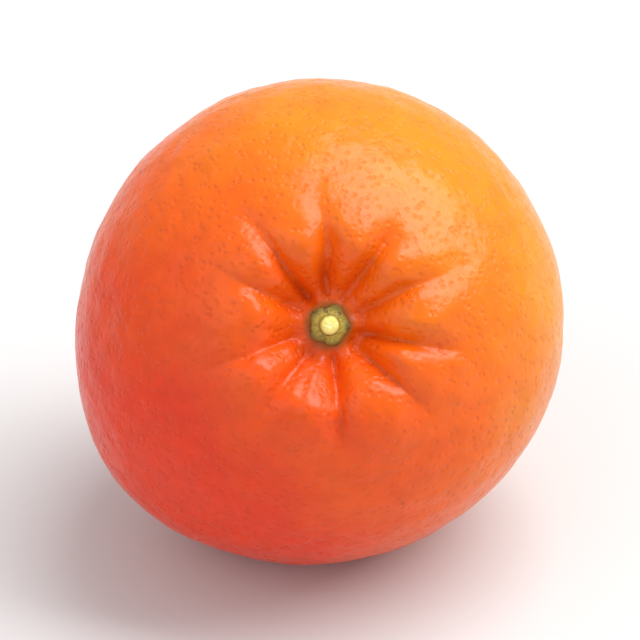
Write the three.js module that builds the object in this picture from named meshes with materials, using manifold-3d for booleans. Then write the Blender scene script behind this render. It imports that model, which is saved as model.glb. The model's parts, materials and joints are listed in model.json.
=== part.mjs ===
// A whole mandarin as picked, with the green calyx and the cut stub of its stalk still on it.
// It lies on a small flat spot on its side, and its stem end leans forward and up.
//
// Units are millimetres. The pieces are shaped in the fruit's own frame: the stem axis is +Z with the
// stem end up, and the origin is the middle of the widest circle. Bearings run round the stem axis,
// anticlockwise from +X as seen from the stem end. The lean then turns the fruit into the part's frame,
// where +Z is up, the stem end faces -Y, and z = 0 is the surface that it lies on.

import * as THREE from 'three';
import { mergeVertices } from 'three/addons/utils/BufferGeometryUtils.js';
import Module from 'manifold-3d';

const wasm = await Module();
wasm.setup();

// ---- Driving dimensions ----

const EQUATOR_RADIUS = 34; // radius of the widest circle round the stem axis, before its swells
const STEM_HEIGHT = 28.8; // widest circle to the stem end, before its hollow
const BLOSSOM_HEIGHT = 29.2; // widest circle to the blossom end, before its hollow
const STEM_FULLNESS = 2.2; // 2 is an ellipse in side view, and more is squarer
const BLOSSOM_FULLNESS = 2.4;

const STEM_HOLLOW = { depth: 4.2, radius: 8.6 };
const BLOSSOM_HOLLOW = { depth: 1.2, radius: 7 };
const COLLAR = { height: 1.1, radius: 14, width: 6 }; // raised ring round the stem hollow
const PLEAT = { height: 1.4, radius: 10, width: 6.5, start: 3, end: 6.5 }; // puffs between the furrows

// Swells and, where the share is negative, flatter sides: bearing and spread in degrees, share of radius.
const SWELLS = [
  { bearing: 220, spread: 30, share: 0.063 },
  { bearing: 304, spread: 38, share: -0.03 },
  { bearing: 95, spread: 45, share: 0.016 },
];

// Furrows that run out from the stalk: bearing in degrees, reach from the axis, depth and half width.
const FURROWS = [
  { bearing: 28, reach: 24, depth: 1.1, halfWidth: 1.4 },
  { bearing: 60, reach: 27, depth: 1.3, halfWidth: 2.2 },
  { bearing: 97, reach: 22, depth: 1.2, halfWidth: 1.2 },
  { bearing: 130, reach: 24, depth: 1.6, halfWidth: 1.4 },
  { bearing: 157, reach: 15, depth: 0.8, halfWidth: 1.1 },
  { bearing: 203, reach: 18, depth: 1.1, halfWidth: 1.5 },
  { bearing: 235, reach: 14, depth: 0.7, halfWidth: 1.1 },
  { bearing: 280, reach: 24, depth: 1.4, halfWidth: 1.3 },
  { bearing: 323, reach: 22, depth: 1.6, halfWidth: 1.4 },
  { bearing: 352, reach: 25, depth: 1.4, halfWidth: 1.4 },
];
const FURROW_START = 3.2; // distance from the stem axis where the furrows begin
const FURROW_EASE = 2.6; // length over which a furrow reaches its depth

const CALYX = { radius: 2.6, lobes: 5, lobeReach: 0.4, thickness: 0.9, rim: 0.35, socketDepth: 0.4 };
const STUB = { radius: 1.3, height: 2.1, chamfer: 0.35 };
const GAP = 0.3; // clearance between one piece and the next

const LEAN_FORWARD = 57; // degrees that the stem axis leans from upright towards -Y
const LEAN_ASIDE = 4; // degrees that it leans towards +X
const SPOT_DEPTH = 1.4; // how far the skin is pressed flat where the fruit lies

const ROUND_STEPS = 80; // facets round the stem axis
const PROFILE_STEPS = 44; // facets from the blossom end to the stem end
const BUTTON_STEPS = 40; // facets round the calyx and the stub

// ---- Shape of the fruit ----

const { degToRad, radToDeg, euclideanModulo, smoothstep } = THREE.MathUtils;

/** A bell curve that is 1 in the middle and falls away over spread. */
const bell = (offset, spread) => Math.exp(-((offset / spread) ** 2));

/** Degrees from bearing b round to bearing a, between -180 and 180. */
const bearingGap = (a, b) => euclideanModulo(a - b + 180, 360) - 180;

/** Side view of the fruit as Lathe points, from the blossom end to the stem end. */
function sideProfile() {
  const points = [];
  for (let i = 0; i <= PROFILE_STEPS; i++) {
    const angle = Math.PI * (1 - i / PROFILE_STEPS); // from the stem axis
    const [height, power] =
      angle < Math.PI / 2 ? [STEM_HEIGHT, STEM_FULLNESS] : [BLOSSOM_HEIGHT, BLOSSOM_FULLNESS];
    const across = Math.sin(angle) / EQUATOR_RADIUS;
    const along = Math.abs(Math.cos(angle)) / height;
    const radius = (across ** power + along ** power) ** (-1 / power);
    const isPole = i === 0 || i === PROFILE_STEPS;
    points.push(new THREE.Vector2(isPole ? 0 : radius * Math.sin(angle), radius * Math.cos(angle)));
  }
  return points;
}

/** How far the outline swells at a bearing, as a share of the radius. */
function swellAt(bearing) {
  return SWELLS.reduce((sum, s) => sum + s.share * bell(bearingGap(bearing, s.bearing), s.spread), 0);
}

/** Depth of one furrow at a place in the stem end. */
function furrowDepth(furrow, x, y) {
  const angle = degToRad(furrow.bearing);
  const along = x * Math.cos(angle) + y * Math.sin(angle);
  if (along < FURROW_START) return 0;
  const aside = y * Math.cos(angle) - x * Math.sin(angle);
  const fadeIn = smoothstep(along, FURROW_START, FURROW_START + FURROW_EASE);
  const fadeOut = 1 - smoothstep(along, furrow.reach / 3, furrow.reach);
  const halfWidth = furrow.halfWidth * (0.6 + (1.5 * along) / furrow.reach);
  return furrow.depth * fadeIn * fadeOut * bell(aside, halfWidth);
}

/** Height of the rounded pleat that stands between one furrow and the next. */
function pleatHeight(x, y) {
  const out = Math.hypot(x, y);
  const bearing = euclideanModulo(radToDeg(Math.atan2(y, x)), 360);
  const bearings = FURROWS.map((furrow) => furrow.bearing);
  const before = bearings.findLast((b) => b <= bearing) ?? bearings.at(-1) - 360;
  const after = bearings.find((b) => b > bearing) ?? bearings[0] + 360;
  const across = (bearing - before) / (after - before);
  const ring = bell(out - PLEAT.radius, PLEAT.width) * smoothstep(out, PLEAT.start, PLEAT.end);
  return PLEAT.height * ring * Math.sin(Math.PI * across) ** 0.8;
}

/** Change in height at the stem end: the hollow, the collar round it, the pleats and the furrows. */
function stemRelief(x, y) {
  const out = Math.hypot(x, y);
  const hollow = STEM_HOLLOW.depth * Math.exp(-((out / STEM_HOLLOW.radius) ** 4));
  const collar = COLLAR.height * bell(out - COLLAR.radius, COLLAR.width);
  const furrows = FURROWS.reduce((sum, furrow) => sum + furrowDepth(furrow, x, y), 0);
  return collar - hollow + pleatHeight(x, y) - furrows;
}

/** Change in height at the blossom end: a shallow hollow. */
function blossomRelief(x, y) {
  return BLOSSOM_HOLLOW.depth * bell(Math.hypot(x, y), BLOSSOM_HOLLOW.radius);
}

/** A surface lathed round +Z, with shared vertices merged and then each vertex moved by shape(vertex). */
function latheSolid(profile, steps, shape = () => {}) {
  const lathe = new THREE.LatheGeometry(profile, steps).rotateX(Math.PI / 2);
  lathe.deleteAttribute('normal');
  lathe.deleteAttribute('uv');
  const geometry = mergeVertices(lathe);
  const position = geometry.getAttribute('position');
  const vertex = new THREE.Vector3();
  for (let i = 0; i < position.count; i++) {
    shape(vertex.fromBufferAttribute(position, i));
    position.setXYZ(i, vertex.x, vertex.y, vertex.z);
  }
  return geometry;
}

/** Moves one vertex of the lathed fruit by its swells, hollows and furrows. */
function shapeSkin(vertex) {
  const bearing = radToDeg(Math.atan2(vertex.y, vertex.x));
  const nearEquator = (Math.hypot(vertex.x, vertex.y) / EQUATOR_RADIUS) ** 2;
  const swell = 1 + swellAt(bearing) * nearEquator;
  vertex.x *= swell;
  vertex.y *= swell;
  vertex.z += vertex.z > 0 ? stemRelief(vertex.x, vertex.y) : blossomRelief(vertex.x, vertex.y);
}

// ---- Cutting with manifold-3d ----

function toSolid(geometry) {
  const merged = mergeVertices(geometry);
  return new wasm.Manifold(
    new wasm.Mesh({
      numProp: 3,
      vertProperties: new Float32Array(merged.getAttribute('position').array),
      triVerts: new Uint32Array(merged.index.array),
    }),
  );
}

function toGeometry(solid) {
  const mesh = solid.getMesh();
  const geometry = new THREE.BufferGeometry();
  geometry.setAttribute('position', new THREE.BufferAttribute(mesh.vertProperties, 3));
  geometry.setIndex(new THREE.BufferAttribute(mesh.triVerts, 1));
  geometry.computeVertexNormals();
  return geometry;
}

/** A block whose top is at a height in the leaning frame, given in the fruit's own frame. */
function blockBelow(height, lean) {
  const side = 4 * EQUATOR_RADIUS;
  const block = new THREE.BoxGeometry(side, side, side).translate(0, 0, height - side / 2);
  block.deleteAttribute('normal');
  block.deleteAttribute('uv');
  return block.applyMatrix4(lean.clone().invert());
}

// ---- Pieces ----

/** Height of the skin on the stem axis, where the calyx sits. */
const seatHeight = STEM_HEIGHT + stemRelief(0, 0);

/** The fruit with its skin and flesh in one, cut flat where it lies. */
function makeFruit(skin, restHeight, lean) {
  const pressed = toSolid(skin).subtract(toSolid(blockBelow(restHeight, lean)));
  const material = new THREE.MeshStandardMaterial({ color: 0xe8641a, roughness: 0.42, metalness: 0 });
  const fruit = new THREE.Mesh(toGeometry(pressed), material);
  fruit.name = 'fruit';
  return fruit;
}

/** The green star at the stem end, with a shallow socket in its face for the stub. */
function makeCalyx() {
  const { radius, lobes, lobeReach, thickness, rim, socketDepth } = CALYX;
  const socket = STUB.radius + GAP;
  const profile = [
    new THREE.Vector2(0, 0),
    new THREE.Vector2(radius - rim / 2, 0),
    new THREE.Vector2(radius, rim / 2),
    new THREE.Vector2(radius - rim / 2, rim),
    new THREE.Vector2(socket + rim, thickness),
    new THREE.Vector2(socket, thickness),
    new THREE.Vector2(socket, thickness - socketDepth),
    new THREE.Vector2(0, thickness - socketDepth),
  ];
  const geometry = latheSolid(profile, BUTTON_STEPS, (vertex) => {
    const towardsRim = smoothstep(Math.hypot(vertex.x, vertex.y), socket, radius);
    const wave = Math.cos(lobes * Math.atan2(vertex.y, vertex.x));
    const stretch = 1 + (lobeReach / radius) * wave * towardsRim;
    vertex.x *= stretch;
    vertex.y *= stretch;
  });
  const material = new THREE.MeshStandardMaterial({ color: 0x7f8430, roughness: 0.75, metalness: 0 });
  const calyx = new THREE.Mesh(geometry, material);
  calyx.name = 'calyx';
  calyx.position.z = seatHeight + GAP;
  return calyx;
}

/** The short cut end of the stalk, standing in the calyx. */
function makeStub() {
  const { radius, height, chamfer } = STUB;
  const profile = [
    new THREE.Vector2(0, 0),
    new THREE.Vector2(radius, 0),
    new THREE.Vector2(radius, height - chamfer),
    new THREE.Vector2(radius - chamfer, height),
    new THREE.Vector2(0, height),
  ];
  const geometry = latheSolid(profile, BUTTON_STEPS);
  const material = new THREE.MeshStandardMaterial({ color: 0xd9d58a, roughness: 0.7, metalness: 0 });
  const stub = new THREE.Mesh(geometry, material);
  stub.name = 'stem_stub';
  stub.position.z = seatHeight + GAP + CALYX.thickness - CALYX.socketDepth + GAP;
  return stub;
}

// ---- Assembly ----

const rotation = new THREE.Euler(degToRad(LEAN_FORWARD), degToRad(LEAN_ASIDE), 0);
const lean = new THREE.Matrix4().makeRotationFromEuler(rotation);

const skin = latheSolid(sideProfile(), ROUND_STEPS, shapeSkin);
const leaningBox = new THREE.Box3().setFromBufferAttribute(
  skin.clone().applyMatrix4(lean).getAttribute('position'),
);
const middle = leaningBox.getCenter(new THREE.Vector3());
const restHeight = leaningBox.min.z + SPOT_DEPTH;

// The part's origin is under the middle of the fruit, on the surface that it lies on.
const mandarin = new THREE.Group();
mandarin.rotation.copy(rotation);
mandarin.position.set(-middle.x, -middle.y, -restHeight);
mandarin.add(makeFruit(skin, restHeight, lean), makeCalyx(), makeStub());

export default mandarin;
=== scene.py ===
"""A whole mandarin, lying on its side on a pale floor.

The peel is puckered round the stem end and dimpled by its oil glands. A green calyx and the cut stub of
the stalk sit in the hollow of the stem end, and a small corky scar marks the blossom end.

The fruit is shaped in its own frame, in millimetres: the stem axis is +Z with the stem end up, and the
origin is the middle of the widest circle. Bearings run round the stem axis, anticlockwise from +X as
seen from the stem end. FruitFrame takes that to the part's frame, in metres.
"""

from __future__ import annotations

import json
import logging
import math
from dataclasses import dataclass
from enum import Enum
from typing import Iterable, Sequence

import bmesh
import bpy
from mathutils import Euler, Matrix, Vector, noise

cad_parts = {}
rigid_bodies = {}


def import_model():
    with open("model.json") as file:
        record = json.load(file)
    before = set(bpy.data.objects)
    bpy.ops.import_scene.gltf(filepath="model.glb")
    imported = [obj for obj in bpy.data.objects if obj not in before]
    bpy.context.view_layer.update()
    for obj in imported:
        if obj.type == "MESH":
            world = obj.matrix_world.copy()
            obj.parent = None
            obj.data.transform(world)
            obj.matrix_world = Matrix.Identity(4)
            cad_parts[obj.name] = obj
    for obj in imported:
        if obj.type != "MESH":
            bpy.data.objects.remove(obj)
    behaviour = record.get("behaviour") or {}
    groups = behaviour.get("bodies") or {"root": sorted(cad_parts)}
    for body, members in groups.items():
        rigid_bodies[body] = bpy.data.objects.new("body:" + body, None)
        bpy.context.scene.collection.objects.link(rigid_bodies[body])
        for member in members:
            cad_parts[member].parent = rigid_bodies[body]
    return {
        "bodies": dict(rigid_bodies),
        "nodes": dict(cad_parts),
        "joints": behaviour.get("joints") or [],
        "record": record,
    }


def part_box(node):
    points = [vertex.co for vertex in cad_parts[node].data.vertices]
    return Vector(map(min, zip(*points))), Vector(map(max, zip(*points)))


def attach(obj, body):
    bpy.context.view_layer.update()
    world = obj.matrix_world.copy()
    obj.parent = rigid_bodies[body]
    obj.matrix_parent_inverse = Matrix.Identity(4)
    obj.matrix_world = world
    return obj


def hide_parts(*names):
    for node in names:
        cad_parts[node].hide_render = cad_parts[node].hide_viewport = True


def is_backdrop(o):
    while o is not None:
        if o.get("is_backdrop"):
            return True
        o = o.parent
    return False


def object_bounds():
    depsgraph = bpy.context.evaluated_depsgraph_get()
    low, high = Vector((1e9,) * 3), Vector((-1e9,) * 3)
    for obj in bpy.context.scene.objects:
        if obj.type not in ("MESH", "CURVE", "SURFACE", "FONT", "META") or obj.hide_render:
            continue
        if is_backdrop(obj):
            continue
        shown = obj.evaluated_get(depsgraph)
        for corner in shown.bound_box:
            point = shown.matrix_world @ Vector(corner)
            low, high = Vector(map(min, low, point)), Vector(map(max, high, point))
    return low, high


log = logging.getLogger("mandarin")

MM = 0.001  # metres in a millimetre
BODY = "root"

Colour = tuple[float, float, float]  # linear red, green and blue


class Slot(Enum):
    """The record's material slots."""

    PEEL = "peel"
    CALYX = "calyx"
    STALK = "stalk"


class Mark(Enum):
    """Values kept on the peel's vertices for its finish, from 0 to 1."""

    GLAND = "gland"
    FOLD = "fold"


# ---- Shape formulas ----


def bell(offset: float, spread: float) -> float:
    """A bell curve that is 1 in the middle and falls away over spread."""
    return math.exp(-((offset / spread) ** 2))


def ease(value: float, low: float, high: float) -> float:
    """A smooth step from 0 at low to 1 at high."""
    t = min(max((value - low) / (high - low), 0.0), 1.0)
    return t * t * (3 - 2 * t)


def bearing_gap(a: float, b: float) -> float:
    """Degrees from bearing b round to bearing a, between -180 and 180."""
    return (a - b + 180) % 360 - 180


def wander(point: Vector, wavelength: float, seed: float = 0.0) -> float:
    """Smooth noise between about -1 and 1 that changes over a wavelength.

    Args:
        point: Where to read it.
        wavelength: Size of its features, in the point's units.
        seed: Picks one pattern out of many.

    Returns:
        The noise there.
    """
    return noise.noise(point / wavelength + Vector((seed, -seed, 2 * seed)))


@dataclass(frozen=True)
class Swell:
    """A fuller or, with a negative share, a flatter side of the outline round the stem axis."""

    bearing: float
    spread: float
    share: float

    def at(self, bearing: float) -> float:
        """Share of the radius that it adds at a bearing."""
        return self.share * bell(bearing_gap(bearing, self.bearing), self.spread)


@dataclass(frozen=True)
class Furrow:
    """A crease in the peel that runs out from the stalk."""

    bearing: float
    reach: float
    depth: float
    half_width: float
    bend: float = 1.3
    start: float = 2.4
    run_in: float = 2.4

    def profile(self, x: float, y: float) -> float:
        """Share of its full depth at a place in the stem end, from 0 to 1.

        Args:
            x: Distance from the stem axis along +X.
            y: Distance from the stem axis along +Y.

        Returns:
            The share, which is 1 along the deepest stretch of the crease.
        """
        angle = math.radians(self.bearing)
        along = x * math.cos(angle) + y * math.sin(angle)
        if along < self.start or along > self.reach:
            return 0.0
        aside = y * math.cos(angle) - x * math.sin(angle)
        aside += self.bend * wander(Vector((along, self.bearing, 0)), 7.0)
        fade_in = ease(along, self.start, self.start + self.run_in)
        fade_out = 1 - ease(along, self.reach / 3, self.reach)
        uneven = 1 + 0.5 * wander(Vector((along, 0, self.bearing)), 4.0)
        width = self.half_width * (0.6 + 1.5 * along / self.reach)
        return fade_in * fade_out * uneven * math.exp(-(abs(aside / width) ** 1.3))


@dataclass(frozen=True)
class PeelShape:
    """The outer surface of the fruit, in its own frame, in millimetres."""

    equator_radius: float = 34.0
    stem_height: float = 28.8
    blossom_height: float = 29.2
    stem_fullness: float = 2.2
    blossom_fullness: float = 2.4
    hollow_depth: float = 4.2
    hollow_radius: float = 8.6
    dimple_depth: float = 1.2
    dimple_radius: float = 7.0
    collar_height: float = 1.1
    collar_radius: float = 14.0
    collar_width: float = 6.0
    pleat_height: float = 1.5
    pleat_radius: float = 10.0
    pleat_width: float = 6.5
    crinkle_height: float = 0.4
    crinkle_radius: float = 10.0
    crinkle_width: float = 7.0
    wave_height: float = 0.24
    wave_length: float = 9.0
    pebble_height: float = 0.13
    pebble_length: float = 2.8
    scar_height: float = 0.55
    scar_radius: float = 1.3
    swells: tuple[Swell, ...] = (
        Swell(bearing=220, spread=30, share=0.063),
        Swell(bearing=304, spread=38, share=-0.03),
        Swell(bearing=95, spread=45, share=0.016),
    )
    furrows: tuple[Furrow, ...] = (
        Furrow(bearing=28, reach=24, depth=1.1, half_width=1.4),
        Furrow(bearing=60, reach=27, depth=1.3, half_width=2.2),
        Furrow(bearing=97, reach=22, depth=1.2, half_width=1.2),
        Furrow(bearing=130, reach=24, depth=1.6, half_width=1.4),
        Furrow(bearing=157, reach=15, depth=0.8, half_width=1.1),
        Furrow(bearing=203, reach=18, depth=1.1, half_width=1.5),
        Furrow(bearing=235, reach=14, depth=0.7, half_width=1.1),
        Furrow(bearing=280, reach=24, depth=1.4, half_width=1.3),
        Furrow(bearing=323, reach=22, depth=1.6, half_width=1.4),
        Furrow(bearing=352, reach=25, depth=1.4, half_width=1.4),
    )

    def fold(self, x: float, y: float) -> float:
        """Depth of the furrows at a place in the stem end."""
        return sum(furrow.depth * furrow.profile(x, y) for furrow in self.furrows)

    def pleat(self, x: float, y: float) -> float:
        """Height of the rounded pleats that stand between one furrow and the next."""
        out = math.hypot(x, y)
        envelope = bell(out - self.pleat_radius, self.pleat_width) * ease(out, 3.0, 6.5)
        if envelope < 0.01:
            return 0.0
        bearing = math.degrees(math.atan2(y, x)) % 360
        bearings = [furrow.bearing for furrow in self.furrows]
        before = max((b for b in bearings if b <= bearing), default=bearings[-1] - 360)
        after = min((b for b in bearings if b > bearing), default=bearings[0] + 360)
        across = (bearing - before) / (after - before)
        puff = 1 + 0.5 * wander(Vector((x, y, before)), 6.0)
        return self.pleat_height * puff * envelope * math.sin(math.pi * across) ** 0.8

    def crinkle(self, x: float, y: float) -> float:
        """Height of the small uneven wrinkles that run out from the stalk."""
        out = math.hypot(x, y)
        envelope = bell(out - self.crinkle_radius, self.crinkle_width) * ease(out, 2.4, 5.0)
        if envelope < 0.01:
            return 0.0
        place = Vector((3.2 * x / out, 3.2 * y / out, out / 7))
        return self.crinkle_height * envelope * (wander(place, 1.0) + 0.5 * wander(place, 0.45, 3.0))

    def stem_relief(self, x: float, y: float) -> float:
        """Change in height at the stem end: hollow, collar, pleats and furrows."""
        out = math.hypot(x, y)
        hollow = self.hollow_depth * math.exp(-((out / self.hollow_radius) ** 4))
        collar = self.collar_height * bell(out - self.collar_radius, self.collar_width)
        return collar - hollow + self.pleat(x, y) + self.crinkle(x, y) - self.fold(x, y)

    def blossom_relief(self, x: float, y: float) -> float:
        """Change in height at the blossom end: a shallow hollow with a small nub in it."""
        out = math.hypot(x, y)
        nub = self.scar_height * math.exp(-((out / self.scar_radius) ** 4))
        moat = 0.25 * bell(out - 1.8 * self.scar_radius, 0.7)
        return self.dimple_depth * bell(out, self.dimple_radius) + moat - nub

    def point(self, direction: Vector) -> Vector:
        """Where a ray from the middle of the fruit meets the peel.

        Args:
            direction: The ray's direction, of length 1.

        Returns:
            The point on the peel.
        """
        across = math.hypot(direction.x, direction.y) / self.equator_radius
        upper = direction.z > 0
        height = self.stem_height if upper else self.blossom_height
        power = self.stem_fullness if upper else self.blossom_fullness
        along = abs(direction.z) / height
        place = direction * (across**power + along**power) ** (-1 / power)
        bearing = math.degrees(math.atan2(place.y, place.x))
        near_equator = (math.hypot(place.x, place.y) / self.equator_radius) ** 2
        swell = 1 + near_equator * sum(s.at(bearing) for s in self.swells)
        place.x *= swell
        place.y *= swell
        relief = self.stem_relief if upper else self.blossom_relief
        place.z += relief(place.x, place.y)
        wave = self.wave_height * wander(place, self.wave_length)
        pebble = self.pebble_height * wander(place, self.pebble_length, 5.0)
        return place + direction * (wave + pebble)

    @property
    def seat_height(self) -> float:
        """Height of the peel on the stem axis, where the calyx sits."""
        return self.point(Vector((0, 0, 1))).z


@dataclass(frozen=True)
class FruitFrame:
    """The turn and place that take the fruit's own frame, in millimetres, to the part's frame, in metres."""

    to_part: Matrix
    lean_forward: float = 57.0
    lean_aside: float = 4.0

    @classmethod
    def fitted(cls, shape: PeelShape, high_corner: Vector) -> FruitFrame:
        """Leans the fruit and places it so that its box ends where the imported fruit's box ends.

        Args:
            shape: The fruit's surface.
            high_corner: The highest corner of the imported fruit's box, in metres.

        Returns:
            The frame.
        """
        angles = (math.radians(cls.lean_forward), math.radians(cls.lean_aside), 0)
        lean = Euler(angles).to_matrix()
        leaning = [lean @ shape.point(direction) for direction in cls.directions(step=3)]
        reach = Vector(max(point[i] for point in leaning) for i in range(3))
        place = Matrix.Translation(high_corner - reach * MM)
        return cls(place @ lean.to_4x4() @ Matrix.Scale(MM, 4))

    @staticmethod
    def directions(step: int) -> Iterable[Vector]:
        """Directions all round, step degrees apart."""
        for polar in range(0, 181, step):
            for bearing in range(0, 360, step):
                ring = math.sin(math.radians(polar))
                turn = math.radians(bearing)
                yield Vector((ring * math.cos(turn), ring * math.sin(turn), math.cos(math.radians(polar))))


# ---- Shader building ----


class Wire:
    """A shader socket whose arithmetic adds Math nodes to its material."""

    def __init__(self, shader: Shader, socket: bpy.types.NodeSocket) -> None:
        """Wraps one output socket."""
        self.shader = shader
        self.socket = socket

    def math(self, operation: str, *others: Wire | float) -> Wire:
        """The result of one Math node on this wire and others."""
        inputs = dict(enumerate((self, *others)))
        return self.shader.node("ShaderNodeMath", {"operation": operation}, inputs)

    def __add__(self, other: Wire | float) -> Wire:
        """Sum."""
        return self.math("ADD", other)

    def __radd__(self, other: float) -> Wire:
        """Sum with a number on the left."""
        return self.math("ADD", other)

    def __sub__(self, other: Wire | float) -> Wire:
        """Difference."""
        return self.math("SUBTRACT", other)

    def __rsub__(self, other: float) -> Wire:
        """Difference from a number on the left."""
        return (self * -1) + other

    def __mul__(self, other: Wire | float) -> Wire:
        """Product."""
        return self.math("MULTIPLY", other)

    def __rmul__(self, other: float) -> Wire:
        """Product with a number on the left."""
        return self.math("MULTIPLY", other)

    def __truediv__(self, other: Wire | float) -> Wire:
        """Quotient."""
        return self.math("DIVIDE", other)

    def __pow__(self, other: float) -> Wire:
        """Power."""
        return self.math("POWER", other)

    def fade(self, low: float, high: float, start: float = 0.0, end: float = 1.0) -> Wire:
        """A smooth step from start, where the value is low, to end, where it is high."""
        return self.shader.node(
            "ShaderNodeMapRange",
            {"interpolation_type": "SMOOTHSTEP"},
            {"Value": self, "From Min": low, "From Max": high, "To Min": start, "To Max": end},
        )


class Shader:
    """A material under construction, with one Principled shader at its end."""

    def __init__(self, name: str, constants: dict[str, float | Sequence[float]]) -> None:
        """Starts a material.

        Args:
            name: The material's name.
            constants: Values set on the Principled shader's own sockets.
        """
        self.material = bpy.data.materials.new(name)
        self.material.use_nodes = True
        self.tree = self.material.node_tree
        self.principled = self.tree.nodes["Principled BSDF"]
        for key, value in constants.items():
            self.principled.inputs[key].default_value = value

    @staticmethod
    def find(sockets: bpy.types.bpy_prop_collection, key: str | int) -> bpy.types.NodeSocket:
        """One of a node's sockets, by its place, its identifier or its name."""
        if isinstance(key, int):
            return sockets[key]
        named = [s for s in sockets if s.identifier == key]
        return named[0] if named else sockets[key]

    def plug(self, socket: bpy.types.NodeSocket, value: object) -> None:
        """Links a wire into a socket, or sets a value on it."""
        if isinstance(value, Wire):
            self.tree.links.new(value.socket, socket)
        else:
            socket.default_value = value

    def node(
        self,
        kind: str,
        settings: dict[str, object] | None = None,
        inputs: dict[str | int, object] | None = None,
        output: str | int = 0,
    ) -> Wire:
        """Adds a node.

        Args:
            kind: The node's type.
            settings: Its own settings; stops are a ramp's (position, colour) pairs.
            inputs: Values or wires for its sockets.
            output: The socket to return.

        Returns:
            The chosen output.
        """
        made = self.tree.nodes.new(kind)
        for key, value in (settings or {}).items():
            if key == "stops":
                self.set_stops(made.color_ramp, value)
            else:
                setattr(made, key, value)
        for key, value in (inputs or {}).items():
            self.plug(self.find(made.inputs, key), value)
        return Wire(self, self.find(made.outputs, output))

    @staticmethod
    def set_stops(ramp: bpy.types.ColorRamp, stops: Sequence[tuple[float, Colour]]) -> None:
        """Gives a colour ramp its stops."""
        while len(ramp.elements) < len(stops):
            ramp.elements.new(1.0)
        for element, (position, colour) in zip(ramp.elements, stops):
            element.position = position
            element.color = (*colour, 1.0)

    def blend(self, amount: Wire | float, a: Wire | Colour, b: Wire | Colour, kind: str = "MIX") -> Wire:
        """Mixes colour b over colour a.

        Args:
            amount: How much of b, from 0 to 1.
            a: The colour underneath.
            b: The colour on top.
            kind: How they mix, such as MIX or MULTIPLY.

        Returns:
            The mixed colour.
        """
        a, b = ((*c, 1.0) if isinstance(c, tuple) else c for c in (a, b))
        settings = {"data_type": "RGBA", "blend_type": kind}
        inputs = {"Factor_Float": amount, "A_Color": a, "B_Color": b}
        return self.node("ShaderNodeMix", settings, inputs, "Result_Color")

    def own_frame(self, frame: FruitFrame) -> Wire:
        """Position in the fruit's own frame, in millimetres."""
        place, turn, scale = frame.to_part.inverted().decompose()
        position = self.node("ShaderNodeTexCoord", output="Object")
        inputs = {"Vector": position, "Location": place, "Rotation": turn.to_euler(), "Scale": scale}
        return self.node("ShaderNodeMapping", {"vector_type": "POINT"}, inputs)

    def cloud(self, position: Wire, size: float, detail: float = 2.0, roughness: float = 0.5) -> Wire:
        """Soft noise from 0 to 1, with features of a size in millimetres."""
        inputs = {"Vector": position, "Scale": 1 / size, "Detail": detail, "Roughness": roughness}
        return self.node("ShaderNodeTexNoise", {"noise_dimensions": "3D"}, inputs, "Fac")

    def cells(self, position: Wire, size: float, randomness: float = 1.0) -> Wire:
        """Distance to the middle of the nearest of many cells of a size in millimetres, in cell sizes."""
        inputs = {"Vector": position, "Scale": 1 / size, "Randomness": randomness}
        return self.node("ShaderNodeTexVoronoi", {"voronoi_dimensions": "3D"}, inputs, "Distance")

    def axis(self, position: Wire, name: str) -> Wire:
        """One coordinate of a position."""
        return self.node("ShaderNodeSeparateXYZ", None, {"Vector": position}, name)

    def out_from_axis(self, position: Wire) -> Wire:
        """Distance from the stem axis of a position in the fruit's own frame."""
        flat = self.node(
            "ShaderNodeVectorMath",
            {"operation": "MULTIPLY"},
            {0: position, 1: (1.0, 1.0, 0.0)},
            "Vector",
        )
        return self.node("ShaderNodeVectorMath", {"operation": "LENGTH"}, {0: flat}, "Value")

    def mark(self, mark: Mark) -> Wire:
        """A value kept on the mesh's vertices."""
        return self.node("ShaderNodeAttribute", {"attribute_name": mark.value}, None, "Fac")

    def finish(self, colour: Wire, roughness: Wire, height: Wire, relief: float) -> bpy.types.Material:
        """Joins the parts of a finish to the Principled shader.

        Args:
            colour: Base colour.
            roughness: Roughness.
            height: Fine relief, from 0 to 1.
            relief: How high 1 is, in millimetres.

        Returns:
            The material.
        """
        bump = self.node("ShaderNodeBump", None, {"Height": height, "Distance": relief * MM})
        self.plug(self.principled.inputs["Base Color"], colour)
        self.plug(self.principled.inputs["Roughness"], roughness)
        self.plug(self.principled.inputs["Normal"], bump)
        return self.material


# ---- Finishes ----


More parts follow.
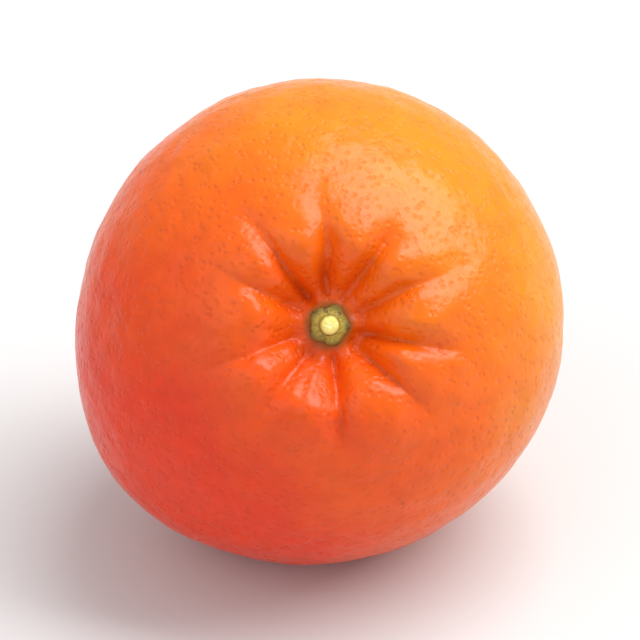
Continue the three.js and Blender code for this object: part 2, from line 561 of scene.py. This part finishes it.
@dataclass(frozen=True)
class PeelFinish:
    """Waxy peel, yellow-orange on one side and red-orange on the other, with darker oil glands: the two
    sides are partly a real blush and partly painted light and shade, and the furrows and a ring round the
    calyx get painted shade.
    """

    # The ramp runs from yellow-orange on the lit side to red-orange on the side in shade: partly a real
    # blush, partly painted light and painted shade. The red also paints shade into the furrows.
    golden_and_lit: Colour = (0.8, 0.27, 0.004)
    orange: Colour = (0.87, 0.13, 0.002)
    blush_and_shade: Colour = (0.76, 0.036, 0.001)
    gland: Colour = (0.62, 0.06, 0.002)
    # Dark brown of a painted shadow ring on the peel round the calyx.
    calyx_shadow: Colour = (0.22, 0.09, 0.01)
    cork: Colour = (0.2, 0.1, 0.035)
    # Direction, in the fruit's frame, of the yellow-orange side: a real blush turned towards the key light,
    # so partly painted light.
    blush_and_light_side: tuple[float, float, float] = (0.64, 0.7, -0.08)
    gland_size: float = 1.15

    def make(self, frame: FruitFrame, shape: PeelShape) -> bpy.types.Material:
        """Builds the material.

        Args:
            frame: Where the fruit is.
            shape: The fruit's surface.

        Returns:
            The material.
        """
        shader = Shader(
            "mandarin_peel",
            {
                "Subsurface Weight": 0.12,
                "Subsurface Radius": (1.0, 0.3, 0.08),
                "Subsurface Scale": 1.6 * MM,
                "IOR": 1.45,
                "Specular IOR Level": 0.3,
                "Coat Weight": 0.14,
                "Coat Roughness": 0.16,
            },
        )
        position = shader.own_frame(frame)
        warp = shader.node(
            "ShaderNodeTexNoise",
            {"noise_dimensions": "3D"},
            {"Vector": position, "Scale": 1 / 2.6, "Detail": 1.0},
            "Color",
        )
        warped = shader.node(
            "ShaderNodeVectorMath",
            {"operation": "MULTIPLY_ADD"},
            {0: warp, 1: (0.9, 0.9, 0.9), 2: position},
            "Vector",
        )
        fine = shader.cells(warped, self.gland_size).fade(0.46, 0.04)
        gland = shader.mark(Mark.GLAND)
        fold = shader.mark(Mark.FOLD)

        # Painted light and shade on top of a real blush: yellow-orange towards the lit side, red-orange
        # towards the side in shade.
        towards_light_side = shader.node(
            "ShaderNodeVectorMath",
            {"operation": "DOT_PRODUCT"},
            {0: position, 1: Vector(self.blush_and_light_side).normalized() / shape.equator_radius},
            "Value",
        )
        blotches = shader.cloud(position, 16.0, 3.0) - 0.5
        blush_and_light_level = towards_light_side * 0.5 + blotches * 0.45 + 0.5
        stops = ((0.12, self.blush_and_shade), (0.5, self.orange), (0.88, self.golden_and_lit))
        colour = shader.node("ShaderNodeValToRGB", {"stops": stops}, {"Fac": blush_and_light_level}, "Color")
        mottling = shader.cloud(position, 3.2, 3.0, 0.6).fade(0.3, 0.7, 0.9, 1.0)
        shade = shader.node("ShaderNodeCombineColor", None, {0: mottling, 1: mottling, 2: mottling})
        colour = shader.blend(1.0, colour, shade, "MULTIPLY")
        colour = shader.blend(gland * 0.06 + fine * 0.1, colour, self.gland)
        # Painted shade: the furrows are darkened towards red.
        colour = shader.blend(fold * 0.25, colour, self.blush_and_shade)
        up = shader.axis(position, "Z")
        out = shader.out_from_axis(position)
        # Painted shadow: the peel darkens to brown in a ring round the calyx, at the stem end.
        calyx_shadow_mask = out.fade(3.9, 2.7) * up.fade(0.0, 10.0)
        colour = shader.blend(calyx_shadow_mask * 0.7, colour, self.calyx_shadow)
        ragged = out + shader.cloud(position, 0.6, 3.0) * 1.2
        scar = ragged.fade(2.4, 1.5) * up.fade(0.0, -10.0)
        colour = shader.blend(scar * 0.85, colour, self.cork)

        roughness = shader.cloud(position, 5.0, 3.0) * 0.2 + fine * 0.1 + scar * 0.3 + 0.21
        grain = shader.cloud(position, 0.5, 2.0)
        pebbles = shader.cloud(position, 2.0, 1.0)
        height = pebbles * 0.85 + grain * 0.24 - fine * 0.5 + 0.4
        return shader.finish(colour, roughness, height, relief=0.24)


@dataclass(frozen=True)
class CalyxFinish:
    """Dull olive calyx, yellower towards its collar and brown in patches."""

    green: Colour = (0.2, 0.14, 0.015)
    yellow: Colour = (0.5, 0.38, 0.05)
    brown: Colour = (0.07, 0.035, 0.008)

    def make(self, frame: FruitFrame) -> bpy.types.Material:
        """Builds the material for a fruit in a frame."""
        shader = Shader("calyx_green", {"Subsurface Weight": 0.05, "Subsurface Scale": 0.5 * MM})
        position = shader.own_frame(frame)
        out = shader.out_from_axis(position)
        patches = shader.cloud(position, 1.1, 3.0)
        grain = shader.cloud(position, 0.3, 3.0)
        colour = shader.blend(out.fade(2.7, 1.6) * grain.fade(0.2, 0.6), self.green, self.yellow)
        colour = shader.blend(patches.fade(0.48, 0.7, 0.0, 0.85), colour, self.brown)
        by_stub = out.fade(1.55, 1.3)
        colour = shader.blend(by_stub * 0.5, colour, self.brown)
        return shader.finish(colour, grain * 0.2 + 0.45, grain + patches, relief=0.12)


@dataclass(frozen=True)
class StalkFinish:
    """Cut stalk: a pale woody face with a greener skin."""

    wood: Colour = (0.84, 0.72, 0.2)
    pith: Colour = (0.9, 0.84, 0.36)
    skin: Colour = (0.46, 0.42, 0.09)

    def make(self, frame: FruitFrame) -> bpy.types.Material:
        """Builds the material for a fruit in a frame."""
        shader = Shader("stalk_cut", {"Subsurface Weight": 0.1, "Subsurface Scale": 0.6 * MM})
        position = shader.own_frame(frame)
        out = shader.out_from_axis(position)
        grain = shader.cloud(position, 0.25, 3.0)
        uneven = out + grain * 0.5 - 0.25
        colour = shader.blend(uneven.fade(0.6, 0.2), self.wood, self.pith)
        colour = shader.blend(uneven.fade(1.0, 1.3), colour, self.skin)
        return shader.finish(colour, grain * 0.2 + 0.42, grain, relief=0.12)


# ---- Pieces ----


def add_piece(name: str, mesh_maker: bmesh.types.BMesh, material: bpy.types.Material) -> bpy.types.Object:
    """Makes a smooth object from a finished bmesh, which it frees.

    Args:
        name: The object's name.
        mesh_maker: The shape, in the part's frame.
        material: Its finish.

    Returns:
        The object, linked to the scene.
    """
    mesh = bpy.data.meshes.new(name)
    mesh_maker.to_mesh(mesh)
    mesh_maker.free()
    mesh.shade_smooth()
    mesh.materials.append(material)
    piece = bpy.data.objects.new(name, mesh)
    bpy.context.scene.collection.objects.link(piece)
    return piece


def spun(profile: Sequence[tuple[float, float]], steps: int) -> bmesh.types.BMesh:
    """Spins a profile once round +Z.

    Args:
        profile: Distances out and heights, from one end on the axis to the other.
        steps: Faces round the axis.

    Returns:
        The closed shape.
    """
    made = bmesh.new()
    points = [made.verts.new((out, 0, up)) for out, up in profile]
    edges = [made.edges.new(pair) for pair in zip(points, points[1:])]
    bmesh.ops.spin(
        made,
        geom=points + edges,
        cent=(0, 0, 0),
        axis=(0, 0, 1),
        dvec=(0, 0, 0),
        angle=2 * math.pi,
        steps=steps,
        use_merge=True,
        use_duplicate=False,
    )
    bmesh.ops.remove_doubles(made, verts=made.verts, dist=1e-5)
    bmesh.ops.recalc_face_normals(made, faces=made.faces)
    return made


@dataclass(frozen=True)
class Peel:
    """The fruit's skin, with its dimples and the flat spot that it lies on."""

    shape: PeelShape
    frame: FruitFrame
    finish: PeelFinish = PeelFinish()
    cuts: int = 126
    gland_spacing: float = 1.6
    gland_width: float = 0.55
    gland_depth: float = 0.06
    spot_rounding: float = 0.25

    def gland(self, place: Vector) -> float:
        """How far into an oil gland's dimple a place is, from 0 to 1."""
        shifted = place + noise.noise_vector(place / 1.9) * 0.5
        nearest = noise.voronoi(shifted / self.gland_spacing)[0][0]
        depth = 0.6 + 0.9 * wander(place, 3.0, 7.0)
        return depth * (1 - ease(nearest, 0.0, self.gland_width))

    def ball(self) -> bmesh.types.BMesh:
        """A ball of even squares, of radius 1."""
        made = bmesh.new()
        bmesh.ops.create_cube(made, size=2.0)
        bmesh.ops.subdivide_edges(made, edges=made.edges, cuts=self.cuts, use_grid_fill=True)
        for vertex in made.verts:
            spread = (math.tan(coordinate * math.pi / 4) for coordinate in vertex.co)
            vertex.co = Vector(spread).normalized()
        return made

    def press(self, place: Vector) -> Vector:
        """Flattens a place, in metres, that would be below the surface the fruit lies on."""
        rounding = self.spot_rounding * MM
        place.z = (place.z + math.hypot(place.z, rounding)) / 2
        return place

    def build(self) -> bpy.types.Object:
        """Shapes the ball into the fruit and marks its glands and folds."""
        made = self.ball()
        layers = {mark: made.verts.layers.float.new(mark.value) for mark in Mark}
        for vertex in made.verts:
            direction = vertex.co.copy()
            vertex.co = self.shape.point(direction)
            vertex[layers[Mark.GLAND]] = self.gland(vertex.co)
            if direction.z > 0:
                vertex[layers[Mark.FOLD]] = min(self.shape.fold(vertex.co.x, vertex.co.y), 1.0)
        made.normal_update()
        for vertex in made.verts:
            depth = self.gland_depth * vertex[layers[Mark.GLAND]]
            vertex.co = vertex.co - vertex.normal * depth
        for vertex in made.verts:
            vertex.co = self.press(self.frame.to_part @ vertex.co)
        piece = add_piece("peel", made, self.finish.make(self.frame, self.shape))
        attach(piece, BODY)
        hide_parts("fruit")
        return piece


@dataclass(frozen=True)
class Calyx:
    """The green star that holds the stalk, in the hollow of the stem end."""

    shape: PeelShape
    frame: FruitFrame
    finish: CalyxFinish = CalyxFinish()
    radius: float = 2.6
    lobes: int = 5
    lobe_reach: float = 0.4
    steps: int = 120

    def build(self) -> bpy.types.Object:
        """Spins the calyx, pulls out its lobes and sets it on the peel."""
        profile = (
            (0.0, 0.0),
            (1.0, 0.0),
            (1.8, 0.0),
            (2.4, 0.02),
            (2.56, 0.1),
            (2.6, 0.22),
            (2.56, 0.36),
            (2.45, 0.5),
            (2.28, 0.62),
            (2.1, 0.7),
            (1.95, 0.76),
            (1.8, 0.84),
            (1.68, 0.94),
            (1.55, 1.02),
            (1.42, 1.06),
            (1.3, 1.04),
            (1.2, 0.92),
            (1.15, 0.6),
            (0.0, 0.6),
        )
        made = spun(profile, self.steps)
        for vertex in made.verts:
            out = math.hypot(vertex.co.x, vertex.co.y)
            bearing = math.atan2(vertex.co.y, vertex.co.x)
            tip = 0.5 + 0.5 * math.cos(self.lobes * bearing)
            outer = ease(out, 1.7, self.radius)
            length = self.lobe_reach * (1 + 0.4 * wander(vertex.co.normalized() if out else vertex.co, 0.8))
            stretch = 1 + outer * (length * tip - 0.12) / self.radius
            vertex.co.x *= stretch
            vertex.co.y *= stretch
            lift = 0.12 * outer * tip + 0.14 * wander(vertex.co, 0.8) * min(out, 1)
            slope = self.shape.stem_relief(vertex.co.x, vertex.co.y) + self.shape.stem_height
            vertex.co.z += slope + 0.1 + lift
        made.transform(self.frame.to_part)
        bmesh.ops.recalc_face_normals(made, faces=made.faces)
        piece = add_piece("calyx_star", made, self.finish.make(self.frame))
        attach(piece, BODY)
        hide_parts("calyx")
        return piece


@dataclass(frozen=True)
class Stalk:
    """The short stub of the stalk, cut across just above the calyx."""

    shape: PeelShape
    frame: FruitFrame
    finish: StalkFinish = StalkFinish()
    height: float = 2.4
    steps: int = 96

    def build(self) -> bpy.types.Object:
        """Spins the stub, roughens its cut face and sets it in the calyx."""
        profile = (
            (0.0, 0.0),
            (0.7, 0.0),
            (1.15, 0.0),
            (1.31, 0.1),
            (1.31, 0.6),
            (1.3, 1.2),
            (1.3, 1.9),
            (1.24, 2.15),
            (1.1, 2.36),
            (0.92, 2.48),
            (0.72, 2.54),
            (0.5, 2.58),
            (0.3, 2.56),
            (0.15, 2.53),
            (0.0, 2.52),
        )
        made = spun(profile, self.steps)
        for vertex in made.verts:
            upper = ease(vertex.co.z, 1.0, self.height)
            bulge = 1 + 0.08 * wander(Vector((vertex.co.x, vertex.co.y, 0)), 1.1)
            vertex.co.x *= bulge
            vertex.co.y *= bulge
            vertex.co.z += upper * (0.14 * wander(vertex.co, 0.6) - 0.12 * vertex.co.x)
            vertex.co.z += self.shape.seat_height + 0.65
        made.transform(self.frame.to_part)
        piece = add_piece("stalk_stub", made, self.finish.make(self.frame))
        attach(piece, BODY)
        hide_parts("stem_stub")
        return piece


# ---- Studio ----


@dataclass(frozen=True)
class Softbox:
    """A rectangular area light that faces the fruit."""

    name: str
    direction: tuple[float, float, float]
    along: tuple[float, float, float]
    distance: float
    width: float
    height: float
    power: float

    def build(self, target: Vector) -> None:
        """Hangs the light in its direction from the target, with its width along a second direction."""
        light = bpy.data.lights.new(self.name, "AREA")
        light.shape = "RECTANGLE"
        light.size = self.width
        light.size_y = self.height
        light.energy = self.power
        lamp = bpy.data.objects.new(self.name, light)
        back = Vector(self.direction).normalized()
        up = back.cross(Vector(self.along)).normalized()
        turn = Matrix((up.cross(back), up, back)).transposed()
        lamp.matrix_world = Matrix.Translation(target + back * self.distance) @ turn.to_4x4()
        bpy.context.scene.collection.objects.link(lamp)


@dataclass(frozen=True)
class Studio:
    """A pale floor, soft lights and the camera."""

    low: Vector
    high: Vector
    elevation: float = 33.0
    lens: float = 180.0
    sensor: float = 36.0
    fill: float = 0.76
    floor_radius: float = 20.0
    exposure: float = -0.08
    boxes: tuple[Softbox, ...] = (
        Softbox("key", (0.5, 0.1, 0.86), (-0.77, 0.35, 0.54), 3.6, 4.4, 1.76, 160.0),
        Softbox("fill", (-0.85, -0.75, 0.7), (1.0, 0.0, 0.0), 4.8, 4.8, 4.8, 60.0),
    )

    def build(self) -> None:
        """Builds everything round the fruit."""
        target = (self.low + self.high) / 2
        self.lay_floor()
        for box in self.boxes:
            box.build(target)
        self.set_world()
        self.place_camera(target)
        bpy.context.scene.view_settings.view_transform = "Standard"
        bpy.context.scene.view_settings.exposure = self.exposure

    def lay_floor(self) -> None:
        """Lays a large pale floor at the height that the fruit rests at."""
        made = bmesh.new()
        bmesh.ops.create_circle(made, cap_ends=True, segments=96, radius=self.floor_radius)
        shader = Shader("pale_floor", {"Base Color": (0.7, 0.7, 0.7, 1.0), "Roughness": 0.6})
        add_piece("floor", made, shader.material)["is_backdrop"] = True

    def set_world(self) -> None:
        """Surrounds the studio with even pale light."""
        world = bpy.data.worlds.new("studio")
        world.use_nodes = True
        background = world.node_tree.nodes["Background"]
        background.inputs["Color"].default_value = (1.0, 1.0, 1.0, 1.0)
        background.inputs["Strength"].default_value = 0.66
        bpy.context.scene.world = world

    def place_camera(self, target: Vector) -> None:
        """Looks down on the stem end from in front, with the fruit filling most of the frame."""
        camera = bpy.data.cameras.new("camera")
        camera.lens = self.lens
        camera.sensor_width = self.sensor
        view = bpy.data.objects.new("camera", camera)
        tilt = math.radians(self.elevation)
        back = Vector((0, -math.cos(tilt), math.sin(tilt)))
        width = (self.high.x - self.low.x) / self.fill
        view.location = target + back * (width * self.lens / self.sensor)
        view.rotation_euler = back.to_track_quat("Z", "Y").to_euler()
        bpy.context.scene.collection.objects.link(view)
        bpy.context.scene.camera = view


def main() -> None:
    """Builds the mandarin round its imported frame, then the studio."""
    logging.basicConfig(level=logging.INFO, format="%(name)s: %(message)s")
    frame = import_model()
    low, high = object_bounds()
    log.info("frame holds %s", sorted(frame["nodes"]))

    shape = PeelShape()
    fruit_frame = FruitFrame.fitted(shape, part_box("fruit")[1])
    for part in (Peel(shape, fruit_frame), Calyx(shape, fruit_frame), Stalk(shape, fruit_frame)):
        piece = part.build()
        log.info("%s: %d faces", piece.name, len(piece.data.polygons))
    Studio(low, high).build()


if __name__ == "__main__":
    main()
